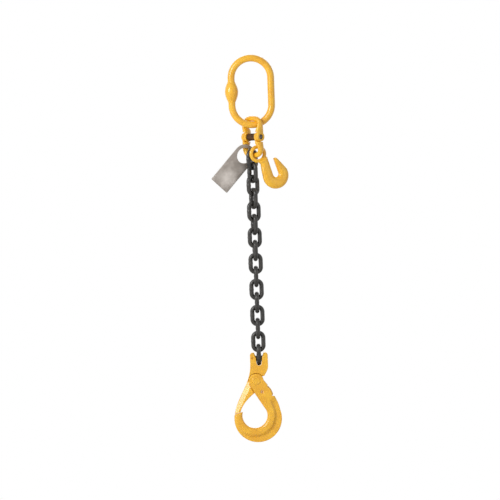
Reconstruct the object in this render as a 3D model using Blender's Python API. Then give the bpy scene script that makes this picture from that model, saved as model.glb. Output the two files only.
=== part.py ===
"""Single-leg lifting chain sling with a grab hook and a self-locking clevis hook.

Lengths are written in millimetres and angles in degrees. The origin is the inside crown of the
master link, where the crane hook bears; the sling hangs down along -Z and is seen along +Y.
"""

import math

import bmesh
import bpy
from mathutils import Matrix, Vector

MM = 0.001

# Clearances
SEAT_GAP = 0.3
PIN_PLAY = 0.3
SIDE_PLAY = 0.35
SWING_PLAY = 0.6

# Master link
MASTER_WIRE = 13.0
MASTER_LENGTH = 110.0
MASTER_WIDTH = 60.0
BULGE_DIAMETER = 24.6
BULGE_LENGTH = 40.0

# Coupling between the master link and the chain
COUPLING_WIRE = 9.5
COUPLING_LENGTH = 59.0
COUPLING_WIDTH = 30.0
COUPLING_TURN = 46.0
COUPLING_LEG = 21.0
COUPLING_SQUARENESS = 2.6
COUPLING_PIN = 9.0
COUPLING_PIN_RECESS = 0.6
BUSH_LENGTH = 21.0
BUSH_WALL = 1.8
EAR_THICKNESS = 5.5
EAR_WALL = 3.8
EAR_DEPTH = 16.0
EAR_NECK = 1.5
LEG_DEPTH = 13.0

# Chain
CHAIN_WIRE = 8.0
CHAIN_PITCH = 24.0
CHAIN_PLAY = 2.6
CHAIN_LINKS = 16
CHAIN_WELD = 0.5
WELD_LENGTH = 6.0
CHAIN_SIDE = -4.0
TWIST_LINKS = 9
TWIST_EASE = 1.3

# Grab hook, drawn from the centre of its eye
EYE_PLAY = 9.5
EYE_WIRE = 7.0
EYE_SIDE = 9.5
EYE_BACK = 2.1
EYE_RISE = 1.95
GRAB_YAW = 20.0
GRAB_LEAN = 18.0
GRAB_THICKNESS = 13.0
GRAB_EDGE = 3.0
GRAB_SLOT_PLAY = 3.0
GRAB_SLOT_SIDE = 20.3
GRAB_SLOT_DEPTH = 52.0
GRAB_BOWL_RADIUS = 25.0
GRAB_TIP_DROP = 17.0
GRAB_TIP_WIDTH = 5.6

# Identification tag, placed from the coupling's lowest wire
TAG_WIDTH = 42.0
TAG_HOLE = 29.6
TAG_REACH = 72.5
TAG_THICKNESS = 2.0
TAG_CORNER = 3.0
TAG_SIDE = -17.0
TAG_BACK = -7.1
TAG_RISE = 0.65
TAG_YAW = 22.5
TAG_PITCH = -12.0
TAG_LEAN = 40.5

# Upper body of the self-locking hook: clevis, tongue and gate arm
CLEVIS_WIDTH = 33.0
CLEVIS_DEPTH = 22.0
CLEVIS_EAR_RISE = 11.5
CLEVIS_EAR_FOOT = 15.0
CLEVIS_HEEL = 17.5
CLEVIS_HEEL_ANGLE = 29.0
CLEVIS_SLOT_PLAY = 3.8
CLEVIS_SLOT_FLARE = 3.6
CLEVIS_PIN = 10.0
CLEVIS_PIN_RECESS = 1.0
CLEVIS_FLOOR = 1.7
CLEVIS_FLOOR_PLAY = 1.8
ROLL_PIN = 3.0
ROLL_PIN_RECESS = 1.0
TONGUE_THICKNESS = 10.0
TONGUE_RADIUS = 11.5
ARM_THICKNESS = 14.0
LOCK_DEPTH = 1.6
LOCK_PLAY = 0.9
LOCK_ANGLE = -15.0
LOCK_HALF_FLOOR = 9.0
LOCK_RAMP = 13.0

# Hook body: two cheeks, a back limb and the bowl, placed from the clevis pin
PIVOT_SIDE = -6.5
PIVOT_DROP = 41.8
PIVOT_PIN = 10.0
RIVET_HEAD = 15.0
RIVET_HEAD_HEIGHT = 1.2
CHEEK_RADIUS = 14.0
BODY_THICKNESS = 22.0
BODY_EDGE = 5.0
BOWL_SIDE = -10.9
BOWL_DROP = 105.4
BOWL_RADIUS = 22.9
RIM_SIDE = -5.2
RIM_DROP = 111.0
RIM_RADIUS = 44.0
TIP_GAP = 0.4

# Trigger in the back limb
TRIGGER_SIDE = 3.8
TRIGGER_DROP = 62.5
TRIGGER_PIN = 4.0
TRIGGER_PIN_RECESS = 1.5
TRIGGER_THICKNESS = 9.0
TRIGGER_EYE = 5.0
TRIGGER_HEEL = 7.0
POCKET_DEPTH = 17.0
SPRING_SIDE = 12.2
SPRING_DIAMETER = 5.0
SPRING_WIRE = 0.8
SPRING_TURNS = 5
SPRING_POINTS = 9

# Finishes: colour, roughness, metallic
YELLOW_PAINT = ((0.80, 0.40, 0.03, 1.0), 0.4, 0.0)
BLACK_STEEL = ((0.02, 0.02, 0.022, 1.0), 0.45, 0.6)
BRIGHT_STEEL = ((0.36, 0.34, 0.31, 1.0), 0.4, 1.0)
BROWN_STEEL = ((0.16, 0.08, 0.03, 1.0), 0.6, 0.5)
TAG_SHEET = ((0.40, 0.38, 0.36, 1.0), 0.45, 0.9)


def material(name, finish):
    """One Principled material for a piece."""
    made = bpy.data.materials.new(name + "_finish")
    made.use_nodes = True
    shader = made.node_tree.nodes["Principled BSDF"]
    shader.inputs["Base Color"].default_value = finish[0]
    shader.inputs["Roughness"].default_value = finish[1]
    shader.inputs["Metallic"].default_value = finish[2]
    return made


def add_pivot(name, point, parent=None):
    """An empty on a joint's axis, which carries one moving group."""
    empty = bpy.data.objects.new("pivot_" + name, None)
    bpy.context.scene.collection.objects.link(empty)
    empty["point"] = list(point)
    empty.location = Vector(point) * MM
    if parent is not None:
        empty.parent = parent
        empty.location = (Vector(point) - Vector(parent["point"])) * MM
    return empty


def add_object(name, mesh, pivot):
    """Turn a bmesh in millimetres into an object on its pivot."""
    bmesh.ops.recalc_face_normals(mesh, faces=mesh.faces)
    data = bpy.data.meshes.new(name)
    mesh.to_mesh(data)
    mesh.free()
    data.transform(Matrix.Scale(MM, 4) @ Matrix.Translation(-Vector(pivot["point"])))
    made = bpy.data.objects.new(name, data)
    bpy.context.scene.collection.objects.link(made)
    made.parent = pivot
    return made


def add_piece(name, mesh, pivot, finish):
    """A named piece with its own material."""
    piece = add_object(name, mesh, pivot)
    piece.data.shade_smooth()
    piece.data.set_sharp_from_angle(angle=math.radians(40.0))
    piece.data.materials.append(material(name, finish))
    return piece


def boolean(piece, other_mesh, operation):
    """Cut, join or trim a piece with a hidden helper solid."""
    helper = add_object(piece.name + "_helper", other_mesh, piece.parent)
    helper.hide_render = True
    helper.display_type = "WIRE"
    step = piece.modifiers.new(operation.lower(), "BOOLEAN")
    step.operation = operation
    step.solver = "EXACT"
    step.object = helper


class Plane:
    """A drawing plane: a centre with a right, an up and a back direction."""

    def __init__(self, centre, right, up):
        self.centre = Vector(centre)
        self.right = Vector(right).normalized()
        self.up = Vector(up).normalized()
        self.back = self.up.cross(self.right)

    def at(self, right, up, back=0.0):
        return self.centre + self.right * right + self.up * up + self.back * back

    def moved(self, place):
        return Plane(self.at(*place), self.right, self.up)


def skin_rings(rings, closed):
    """Join rings of points into one closed solid."""
    mesh = bmesh.new()
    loops = [[mesh.verts.new(point) for point in ring] for ring in rings]
    count = len(loops[0])
    pairs = list(zip(loops, loops[1:]))
    if closed:
        pairs.append((loops[-1], loops[0]))
    for first, second in pairs:
        for index in range(count):
            after = (index + 1) % count
            mesh.faces.new((first[index], first[after], second[after], second[index]))
    if not closed:
        mesh.faces.new(loops[0])
        mesh.faces.new(loops[-1])
    return mesh


def sweep(plane, path, sections, sides, closed):
    """Sweep an oval section along a path; a section is (in-plane radius, depth radius)."""
    rings = []
    count = len(path)
    for index, (right, up) in enumerate(path):
        before = path[index - 1] if closed or index else path[index]
        after = path[(index + 1) % count] if closed or index < count - 1 else path[index]
        along = Vector((after[0] - before[0], after[1] - before[1])).normalized()
        across = Vector((along.y, -along.x))
        wide, deep = sections[index]
        ring = []
        for side in range(sides):
            angle = 2.0 * math.pi * side / sides
            offset = across * (wide * math.cos(angle))
            ring.append(plane.at(right + offset.x, up + offset.y, deep * math.sin(angle)))
        rings.append(ring)
    return skin_rings(rings, closed)


def turned(plane, profile, sides):
    """Turn a profile of (radius, distance back) round the plane's back direction."""
    rings = []
    for radius, distance in profile:
        rings.append([plane.at(*point, distance) for point in circle(radius, sides)])
    return skin_rings(rings, False)


def rod(plane, radius, half_length, sides):
    """A plain pin along the plane's back direction."""
    return turned(plane, [(radius, -half_length), (radius, half_length)], sides)


def inset(outline, distance):
    """Move a counter-clockwise outline inwards by a distance."""
    moved = []
    count = len(outline)
    for index in range(count):
        here = Vector(outline[index])
        first = (here - Vector(outline[index - 1])).normalized()
        second = (Vector(outline[(index + 1) % count]) - here).normalized()
        normal = Vector((-first.y - second.y, first.x + second.x))
        reach = max(normal.length_squared / 2.0, 0.5)
        moved.append(here + normal * (distance / reach))
    return moved


def plate(plane, outline, layers):
    """A plate with a shaped edge; each layer is (distance back, inset of the outline)."""
    rings = []
    for back, by in layers:
        rings.append([plane.at(point[0], point[1], back) for point in inset(outline, by)])
    return skin_rings(rings, False)


def flat_layers(near, far):
    """Layers of a plain plate between two distances back."""
    return [(near, 0.0), (far, 0.0)]


def rounded_layers(half, edge):
    """Layers of a forged plate whose edges are rounded by a given amount."""
    half_way = edge * (1.0 - math.sqrt(0.5))
    front = [(-half, edge), (-half + half_way, half_way), (-half + edge, 0.0)]
    return front + [(-back, by) for back, by in reversed(front)]


def arc(centre, radius, start, end, steps):
    """Points of a circular arc, both ends included."""
    return [polar(centre, radius, start + (end - start) * step / steps) for step in range(steps + 1)]


def polar(centre, radius, angle):
    """One point at an angle from a centre."""
    turn = math.radians(angle)
    return (centre[0] + radius * math.cos(turn), centre[1] + radius * math.sin(turn))


def circle(radius, sides):
    """Points of a whole circle about the plane's centre."""
    return [polar((0.0, 0.0), radius, 360.0 * side / sides) for side in range(sides)]


def beside(point, right, up):
    """A point at an offset from another."""
    return (point[0] + right, point[1] + up)


def curve(points, steps):
    """Points of a Bezier curve, both ends included."""
    made = []
    for step in range(steps + 1):
        row = [Vector(point) for point in points]
        while len(row) > 1:
            row = [first.lerp(second, step / steps) for first, second in zip(row, row[1:])]
        made.append(tuple(row[0]))
    return made


def oval_path(radius, straight, bow_steps, left_steps):
    """Centre line of a welded link, counter-clockwise, with extra points on its left leg."""
    half = straight / 2.0
    path = arc((0.0, half), radius, 0.0, 180.0, bow_steps)
    for step in range(1, left_steps):
        path.append((-radius, half - straight * step / left_steps))
    return path + arc((0.0, -half), radius, 180.0, 360.0, bow_steps)


def facing(yaw):
    """Horizontal direction that is turned by yaw from +X towards +Y."""
    angle = math.radians(yaw)
    return Vector((math.cos(angle), math.sin(angle), 0.0))


UP = Vector((0.0, 0.0, 1.0))

# Places along the sling, worked out from the sizes above
MASTER_CENTRE = Vector((0.0, 0.0, -MASTER_LENGTH / 2.0))
MASTER_SEAT = Vector((0.0, 0.0, -MASTER_LENGTH - MASTER_WIRE / 2.0))
COUPLING_CENTRE = Vector((0.0, 0.0, -MASTER_LENGTH + SEAT_GAP - COUPLING_LENGTH / 2.0))
COUPLING_RIGHT = facing(-COUPLING_TURN)
COUPLING_BACK = facing(90.0 - COUPLING_TURN)
BOW_HALF_WIDTH = (COUPLING_WIDTH + COUPLING_WIRE) / 2.0
BOW_TOP = (COUPLING_LENGTH + COUPLING_WIRE) / 2.0


def bow_height(side):
    """Height of the coupling's centre line above its pin, at a distance to the side."""
    share = 1.0 - abs(side / BOW_HALF_WIDTH) ** COUPLING_SQUARENESS
    return COUPLING_LEG + (BOW_TOP - COUPLING_LEG) * share ** (1.0 / COUPLING_SQUARENESS)


def on_bow(side, back, rise):
    """A place near the coupling's lower bow: along it, behind it and above its centre line."""
    level = UP * (rise - bow_height(side))
    return COUPLING_CENTRE + COUPLING_RIGHT * side + COUPLING_BACK * back + level


LINK_RADIUS = CHAIN_WIRE + CHAIN_PLAY / 2.0
LINK_INSIDE = CHAIN_PITCH + SEAT_GAP
LINK_STRAIGHT = LINK_INSIDE - CHAIN_WIRE - CHAIN_PLAY
CHAIN_SEAT = on_bow(CHAIN_SIDE, 0.0, 0.0)
FIRST_LINK = CHAIN_SEAT + UP * (COUPLING_WIRE / 2.0 + SEAT_GAP - LINK_INSIDE / 2.0)
CLEVIS_SEAT = FIRST_LINK - UP * (CHAIN_PITCH * (CHAIN_LINKS - 1) + LINK_INSIDE / 2.0
                                 - SEAT_GAP - CLEVIS_PIN / 2.0)
HOOK_PLANE = Plane(CLEVIS_SEAT, facing(0.0), UP)
CROSS_PLANE = Plane(CLEVIS_SEAT, facing(90.0), UP)
CLEVIS_SLOT = (CHAIN_WIRE + CLEVIS_SLOT_PLAY) / 2.0
ROLL_PIN_PLACE = (-(CLEVIS_WIDTH / 2.0 + CLEVIS_SLOT) / 2.0 - ROLL_PIN / 4.0, 0.0)
PIVOT = (PIVOT_SIDE, -PIVOT_DROP)
TRIGGER = (TRIGGER_SIDE, -TRIGGER_DROP)
BOWL = (BOWL_SIDE, -BOWL_DROP)
RIM = (RIM_SIDE, -RIM_DROP)
TIP_INSIDE = polar(BOWL, BOWL_RADIUS, 161.0)
TIP_OUTSIDE = polar(RIM, RIM_RADIUS, 168.5)
POCKET_FLOOR = -TRIGGER_DROP - POCKET_DEPTH


def make_master_link(pivot):
    """Oblong link with the swelling on its left leg."""
    radius = (MASTER_WIDTH + MASTER_WIRE) / 2.0
    path = oval_path(radius, MASTER_LENGTH - MASTER_WIDTH, 12, 12)
    sections = []
    for right, up in path:
        size = MASTER_WIRE / 2.0
        if right < -radius * 0.9 and abs(up) < BULGE_LENGTH / 2.0:
            share = 1.0 - (2.0 * up / BULGE_LENGTH) ** 2
            size += (BULGE_DIAMETER - MASTER_WIRE) / 2.0 * share ** 1.3
        sections.append((size, size))
    mesh = sweep(Plane(MASTER_CENTRE, facing(0.0), UP), path, sections, 14, True)
    add_piece("master_link", mesh, pivot, YELLOW_PAINT)


def coupling_layout():
    """Distances from the coupling's middle to its inner and outer ears."""
    inner = BUSH_LENGTH / 2.0 + SIDE_PLAY + EAR_THICKNESS / 2.0
    return inner, inner + EAR_THICKNESS + SIDE_PLAY


def make_coupling_half(name, turn, pivot):
    """One of two equal halves: an inner ear, a bow and an outer ear."""
    inner, outer = coupling_layout()
    plane = Plane(COUPLING_CENTRE, COUPLING_RIGHT * turn, UP * turn)
    bore = COUPLING_PIN / 2.0 + PIN_PLAY
    ear_radius = bore + EAR_WALL
    wire = COUPLING_WIRE / 2.0
    ear = (EAR_THICKNESS / 2.0, EAR_DEPTH / 2.0)
    path = [(outer, 0.0), (outer, ear_radius + EAR_NECK)]
    sections = []
    steps = 20
    for step in range(steps + 1):
        angle = math.pi * step / steps
        side = math.copysign(abs(math.cos(angle)) ** (2.0 / COUPLING_SQUARENESS), math.cos(angle))
        rise = abs(math.sin(angle)) ** (2.0 / COUPLING_SQUARENESS)
        path.append((BOW_HALF_WIDTH * side, COUPLING_LEG + (BOW_TOP - COUPLING_LEG) * rise))
        sections.append((wire, wire + (LEG_DEPTH / 2.0 - wire) * max(0.0, 1.0 - 2.0 * rise)))
    path += [(-inner, ear_radius + EAR_NECK), (-inner, 0.0)]
    sections = [ear, ear] + sections + [ear, ear]
    half = add_piece(name, sweep(plane, path, sections, 12, False), pivot, YELLOW_PAINT)
    for side in (outer, -inner):
        ear_plane = Plane(plane.at(side, 0.0), COUPLING_BACK, UP)
        boolean(half, rod(ear_plane, ear_radius, EAR_THICKNESS / 2.0, 20), "UNION")
    pin_plane = Plane(COUPLING_CENTRE, COUPLING_BACK, UP)
    boolean(half, rod(pin_plane, bore, outer + EAR_THICKNESS, 20), "DIFFERENCE")


def make_coupling_pin(pivot):
    """Load pin across all four ears, and the bush that grips it between them."""
    _, outer = coupling_layout()
    plane = Plane(COUPLING_CENTRE, COUPLING_BACK, UP)
    half = outer + EAR_THICKNESS / 2.0 - COUPLING_PIN_RECESS
    add_piece("coupling_load_pin", rod(plane, COUPLING_PIN / 2.0, half, 20), pivot, BRIGHT_STEEL)
    bore = COUPLING_PIN / 2.0 + PIN_PLAY
    bush = add_piece("coupling_bush", rod(plane, bore + BUSH_WALL, BUSH_LENGTH / 2.0, 20),
                     pivot, BROWN_STEEL)
    boolean(bush, rod(plane, bore, BUSH_LENGTH, 20), "DIFFERENCE")


def link_yaw(index):
    """Turn of a link about the chain's line; the twist dies out down the chain."""
    share = max(0.0, 1.0 - index / TWIST_LINKS) ** TWIST_EASE
    return (90.0 - COUPLING_TURN) * share - (90.0 if index % 2 else 0.0)


def make_chain(first_pivot):
    """Welded links, each on its own pivot on the wire of the one above."""
    pivot = first_pivot
    path = oval_path(LINK_RADIUS, LINK_STRAIGHT, 8, 4)
    wire = CHAIN_WIRE / 2.0
    sections = []
    for right, up in path:
        swell = CHAIN_WELD if right < 0.0 and abs(up) < WELD_LENGTH / 2.0 else 0.0
        sections.append((wire + swell, wire + swell))
    for index in range(CHAIN_LINKS):
        name = "link_%02d" % (index + 1)
        centre = FIRST_LINK - UP * (CHAIN_PITCH * index)
        seat = centre + UP * (CHAIN_PITCH - LINK_INSIDE / 2.0 - wire)
        pivot = add_pivot(name, seat if index else CHAIN_SEAT, pivot)
        plane = Plane(centre, facing(link_yaw(index)), UP)
        add_piece("chain_" + name, sweep(plane, path, sections, 10, True), pivot, BLACK_STEEL)
    return pivot


def grab_plane():
    """Plane of the grab hook, its up direction along the chain slot."""
    lean = math.radians(GRAB_LEAN)
    across = facing(GRAB_YAW)
    return Plane(on_bow(EYE_SIDE, EYE_BACK, EYE_RISE),
                 across * math.cos(lean) + UP * math.sin(lean),
                 UP * math.cos(lean) - across * math.sin(lean))


def make_grab_hook(pivot):
    """Shortening hook: a round eye on the coupling, a shank, a chain slot and a point."""
    plane = grab_plane()
    slot = (CHAIN_WIRE + GRAB_SLOT_PLAY) / 2.0
    eye = (COUPLING_WIRE + EYE_PLAY + EYE_WIRE) / 2.0
    near = GRAB_SLOT_SIDE - slot
    floor = (GRAB_SLOT_SIDE, slot - GRAB_SLOT_DEPTH)
    bowl = beside(floor, -1.0, -2.25)
    tip_radius = GRAB_TIP_WIDTH / 2.0
    tip = (GRAB_SLOT_SIDE + slot + tip_radius, -GRAB_TIP_DROP - tip_radius)
    outline = arc(tip, tip_radius, 20.0, 180.0, 5)
    outline += arc(floor, slot, 0.0, -180.0, 8)
    outline += [(near, -eye * 0.77), polar((0.0, 0.0), eye, -54.0), polar((0.0, 0.0), eye, -113.0)]
    flank = polar(bowl, GRAB_BOWL_RADIUS, 165.0)
    outline += [beside(flank, 3.7, 22.0), beside(flank, 2.2, 16.5)]
    outline += arc(bowl, GRAB_BOWL_RADIUS, 165.0, 372.0, 20)
    outline += [beside(tip, 11.2, -15.5), beside(tip, 6.3, -3.5)]
    layers = rounded_layers(GRAB_THICKNESS / 2.0, GRAB_EDGE)
    hook = add_piece("grab_hook", plate(plane, outline, layers), pivot, YELLOW_PAINT)
    ring = circle(eye, 28)
    wire = EYE_WIRE / 2.0
    boolean(hook, sweep(plane, ring, [(wire, wire)] * len(ring), 10, True), "UNION")


def tag_plane():
    """Plane of the tag, centred on its hole, its up direction along its length."""
    lean = math.radians(TAG_LEAN)
    pitch = math.radians(TAG_PITCH)
    across = facing(TAG_YAW)
    rise = UP * math.cos(pitch) + facing(TAG_YAW + 90.0) * math.sin(pitch)
    lowest = COUPLING_CENTRE - UP * (BOW_TOP - TAG_RISE)
    return Plane(lowest + COUPLING_RIGHT * TAG_SIDE + COUPLING_BACK * TAG_BACK,
                 across * math.cos(lean) - rise * math.sin(lean),
                 across * math.sin(lean) + rise * math.cos(lean))


def make_tag(pivot):
    """Bare sheet tag: a round end with a large hole, and a square end."""
    plane = tag_plane()
    half = TAG_WIDTH / 2.0
    corner = half - TAG_CORNER
    low = TAG_CORNER - TAG_REACH
    outline = arc((0.0, 0.0), half, 0.0, 180.0, 18)
    outline += arc((-corner, low), TAG_CORNER, 180.0, 270.0, 3)
    outline += arc((corner, low), TAG_CORNER, 270.0, 360.0, 3)
    layers = flat_layers(-TAG_THICKNESS / 2.0, TAG_THICKNESS / 2.0)
    tag = add_piece("id_tag", plate(plane, outline, layers), pivot, TAG_SHEET)
    boolean(tag, rod(plane, TAG_HOLE / 2.0, TAG_THICKNESS, 28), "DIFFERENCE")


def tongue_edge():
    """Round edge of the tongue from the arm to the neck, with the lock notch in it."""
    floor = TONGUE_RADIUS - LOCK_DEPTH
    low, high = LOCK_ANGLE - LOCK_HALF_FLOOR, LOCK_ANGLE + LOCK_HALF_FLOOR
    points = arc(PIVOT, TONGUE_RADIUS, -100.0, low - LOCK_RAMP, 4)
    points += [polar(PIVOT, floor, low), polar(PIVOT, floor, high)]
    return points + arc(PIVOT, TONGUE_RADIUS, high + LOCK_RAMP, 45.0, 3)


def make_clevis_body(pivot):
    """Clevis, tongue and gate arm, forged in one piece."""
    half, rise = CLEVIS_WIDTH / 2.0, CLEVIS_EAR_RISE
    foot = (half, -CLEVIS_EAR_FOOT)
    floor_radius = (CHAIN_WIRE + CLEVIS_FLOOR_PLAY) / 2.0
    slot_low = floor_radius - CLEVIS_PIN / 2.0 - SEAT_GAP - CHAIN_WIRE - CLEVIS_FLOOR
    mouth = CLEVIS_SLOT + CLEVIS_SLOT_FLARE
    end = Vector(TIP_OUTSIDE) - Vector(TIP_INSIDE)
    lift = Vector((end.y, -end.x)).normalized() * TIP_GAP
    tip_in = tuple(Vector(TIP_INSIDE) + end * 0.28 + lift)
    tip_out = tuple(Vector(TIP_INSIDE) + end * 0.975 + lift)
    root = polar(PIVOT, TONGUE_RADIUS * 2.0, -100.0)
    outline = curve([tip_in, beside(tip_in, 2.5, 13.0), beside(root, -11.0, -8.5), root], 7)
    edge = tongue_edge()
    outline += edge
    heel = polar(PIVOT, CLEVIS_HEEL, CLEVIS_HEEL_ANGLE)
    outline += curve([heel, beside(heel, 2.0, 4.5), beside(foot, -0.2, -8.0), foot], 5)
    outline += [(half, rise - 5.0), (half - 3.0, rise), (mouth, rise), (CLEVIS_SLOT, 0.0)]
    outline += arc((0.0, slot_low), floor_radius, 0.0, -180.0, 8)
    outline += [(-CLEVIS_SLOT, 0.0), (-mouth, rise), (3.0 - half, rise), (-half, rise - 5.0)]
    outline += curve([(-half, -CLEVIS_EAR_FOOT * 0.67), beside(PIVOT, PIVOT_SIDE - 3.5, -6.0),
                      (tip_out[0] + 7.0, -PIVOT_DROP - 24.0), tip_out], 10)
    layers = flat_layers(-CLEVIS_DEPTH, CLEVIS_DEPTH)
    body = add_piece("clevis_body", plate(HOOK_PLANE, outline, layers), pivot, YELLOW_PAINT)
    boolean(body, side_view(), "INTERSECT")
    for side in (-1.0, 1.0):
        boolean(body, cheek_recess(side), "DIFFERENCE")
    boolean(body, rod(CROSS_PLANE, CLEVIS_PIN / 2.0 + PIN_PLAY, CLEVIS_WIDTH, 20), "DIFFERENCE")
    boolean(body, roll_pin_hole(), "DIFFERENCE")
    pivot_hole = rod(HOOK_PLANE.moved(PIVOT), PIVOT_PIN / 2.0 + PIN_PLAY, CLEVIS_DEPTH, 20)
    boolean(body, pivot_hole, "DIFFERENCE")


def side_view():
    """Side view of the clevis and the arm, as a prism across the hook."""
    deep, arm = CLEVIS_DEPTH / 2.0, ARM_THICKNESS / 2.0
    shoulder = -PIVOT_DROP + CHEEK_RADIUS
    down = [(deep, shoulder), (arm, -PIVOT_DROP - CHEEK_RADIUS), (arm, -RIM_DROP)]
    outline = list(reversed(down)) + arc((0.0, 0.0), deep, 0.0, 180.0, 12)
    outline += [(-back, up) for back, up in down]
    reach = RIM_RADIUS * 2.0
    return plate(CROSS_PLANE, outline, flat_layers(-reach, reach))


def cheek_recess(side):
    """Room for one cheek of the hook body, on one face of the tongue."""
    around = CHEEK_RADIUS + SWING_PLAY * 1.6
    right = RIM_RADIUS
    low = -BOWL_DROP + BOWL_RADIUS
    root = polar(PIVOT, TONGUE_RADIUS * 2.0, -100.0)
    outline = arc(PIVOT, around, 40.0, 215.0, 14)
    heel = polar(PIVOT, CLEVIS_HEEL, CLEVIS_HEEL_ANGLE)
    outline += [beside(root, -0.6, -1.2), (root[0], low), (right, low), (right, heel[1]), heel]
    near, far = side * TONGUE_THICKNESS / 2.0, side * CLEVIS_DEPTH
    return plate(HOOK_PLANE, outline, flat_layers(min(near, far), max(near, far)))


def roll_pin_hole():
    """Cross hole through one ear and the load pin."""
    return rod(HOOK_PLANE.moved(ROLL_PIN_PLACE), ROLL_PIN / 2.0 + PIN_PLAY, CLEVIS_DEPTH, 12)


def make_clevis_pins(pivot):
    """Load pin of the clevis and the roll pin that keeps it in."""
    half = CLEVIS_WIDTH / 2.0 - CLEVIS_PIN_RECESS
    pin = add_piece("clevis_load_pin", rod(CROSS_PLANE, CLEVIS_PIN / 2.0, half, 20), pivot, BRIGHT_STEEL)
    boolean(pin, roll_pin_hole(), "DIFFERENCE")
    half = CLEVIS_DEPTH / 2.0 - ROLL_PIN_RECESS
    roll_pin = rod(HOOK_PLANE.moved(ROLL_PIN_PLACE), ROLL_PIN / 2.0, half, 12)
    add_piece("clevis_roll_pin", roll_pin, pivot, BRIGHT_STEEL)


def make_hook_body(pivot):
    """Bowl, back limb and two cheeks that hold the tongue and the trigger between them."""
    rim_end = polar(RIM, RIM_RADIUS, 380.0)
    cheek = polar(PIVOT, CHEEK_RADIUS, 6.0)
    apex = polar(PIVOT, TONGUE_RADIUS * 2.05, -98.3)
    throat = polar(BOWL, BOWL_RADIUS, 22.0)
    outline = arc(RIM, RIM_RADIUS, 168.5, 380.0, 28)
    outline += curve([rim_end, beside(rim_end, -2.0, 14.0), beside(TRIGGER, 17.2, 6.5), cheek], 7)[1:-1]
    outline += arc(PIVOT, CHEEK_RADIUS, 6.0, 215.0, 16)
    outline += curve([apex, tuple(Vector(apex).lerp(Vector(throat), 0.5)), throat], 2)
    outline += arc(BOWL, BOWL_RADIUS, 22.0, -199.0, 24)[1:]
    layers = rounded_layers(BODY_THICKNESS / 2.0, BODY_EDGE)
    body = add_piece("hook_body", plate(HOOK_PLANE, outline, layers), pivot, YELLOW_PAINT)
    boolean(body, tongue_slot(), "DIFFERENCE")
    boolean(body, trigger_pocket(), "DIFFERENCE")
    for place, size in ((PIVOT, PIVOT_PIN), (TRIGGER, TRIGGER_PIN)):
        hole = rod(HOOK_PLANE.moved(place), size / 2.0 + PIN_PLAY, BODY_THICKNESS, 20)
        boolean(body, hole, "DIFFERENCE")


def slot_layers():
    """Thickness of the space between the cheeks."""
    half = TONGUE_THICKNESS / 2.0 + SIDE_PLAY
    return flat_layers(-half, half)


def tongue_slot():
    """Space between the cheeks for the tongue and for the arm as it swings."""
    around = TONGUE_RADIUS + SWING_PLAY
    far = RIM_RADIUS * 2.0
    outline = arc(PIVOT, around, -97.0, -3.0, 8)
    outline += [polar(PIVOT, far, -3.0), (far, 0.0), (-far, 0.0)]
    outline += [(-far, -BOWL_DROP + BOWL_RADIUS), (PIVOT_SIDE - 5.0, -BOWL_DROP + BOWL_RADIUS)]
    return plate(HOOK_PLANE, outline, slot_layers())


def trigger_pocket():
    """Space between the cheeks for the trigger, its swing and its spring."""
    wall = -TRIGGER_EYE - 1.0
    outline = [beside(TRIGGER, wall, 10.5), beside(TRIGGER, wall, -3.5),
               beside(TRIGGER, 0.2, -TRIGGER_EYE - 2.0), (TRIGGER_SIDE + SPRING_SIDE / 2.0, POCKET_FLOOR),
               (RIM_RADIUS, POCKET_FLOOR), (RIM_RADIUS, -PIVOT_DROP), polar(PIVOT, TONGUE_RADIUS, -3.0)]
    return plate(HOOK_PLANE, outline, slot_layers())


def make_trigger(pivot):
    """Thumb lever whose nose stands in the tongue's lock notch."""
    nose = TONGUE_RADIUS - LOCK_DEPTH + LOCK_PLAY
    root = TONGUE_RADIUS + SWING_PLAY * 2.0
    tip = LOCK_HALF_FLOOR * 0.6
    spread = tip + LOCK_RAMP * 0.7
    outline = arc(TRIGGER, TRIGGER_EYE, 150.0, 300.0, 7)
    outline += [beside(TRIGGER, 9.2, -TRIGGER_HEEL), beside(TRIGGER, 18.7, -TRIGGER_HEEL),
                beside(TRIGGER, 20.2, -4.0), beside(TRIGGER, 16.5, 5.0), beside(TRIGGER, 11.7, 10.5),
                beside(TRIGGER, 6.8, 11.5)]
    outline += [polar(PIVOT, root + 3.2, LOCK_ANGLE + spread - 2.5),
                polar(PIVOT, root, LOCK_ANGLE + spread), polar(PIVOT, nose, LOCK_ANGLE + tip),
                polar(PIVOT, nose, LOCK_ANGLE - tip), polar(PIVOT, root, LOCK_ANGLE - spread)]
    half = TRIGGER_THICKNESS / 2.0
    trigger = add_piece("trigger", plate(HOOK_PLANE, outline, flat_layers(-half, half)), pivot, YELLOW_PAINT)
    hole = rod(HOOK_PLANE.moved(TRIGGER), TRIGGER_PIN / 2.0 + PIN_PLAY, TRIGGER_THICKNESS, 16)
    boolean(trigger, hole, "DIFFERENCE")


def make_hook_pins(pivot):
    """Pivot rivet through cheeks and tongue, and the trigger's pin."""
    face = BODY_THICKNESS / 2.0 + SEAT_GAP
    shank, head, top = PIVOT_PIN / 2.0, RIVET_HEAD / 2.0, face + RIVET_HEAD_HEIGHT
    front = [(head - RIVET_HEAD_HEIGHT, -top), (head, -face), (shank, -face)]
    profile = front + [(radius, -distance) for radius, distance in reversed(front)]
    add_piece("pivot_rivet", turned(HOOK_PLANE.moved(PIVOT), profile, 20), pivot, YELLOW_PAINT)
    half = BODY_THICKNESS / 2.0 - TRIGGER_PIN_RECESS
    pin = rod(HOOK_PLANE.moved(TRIGGER), TRIGGER_PIN / 2.0, half, 16)
    add_piece("trigger_pin", pin, pivot, BRIGHT_STEEL)


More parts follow.
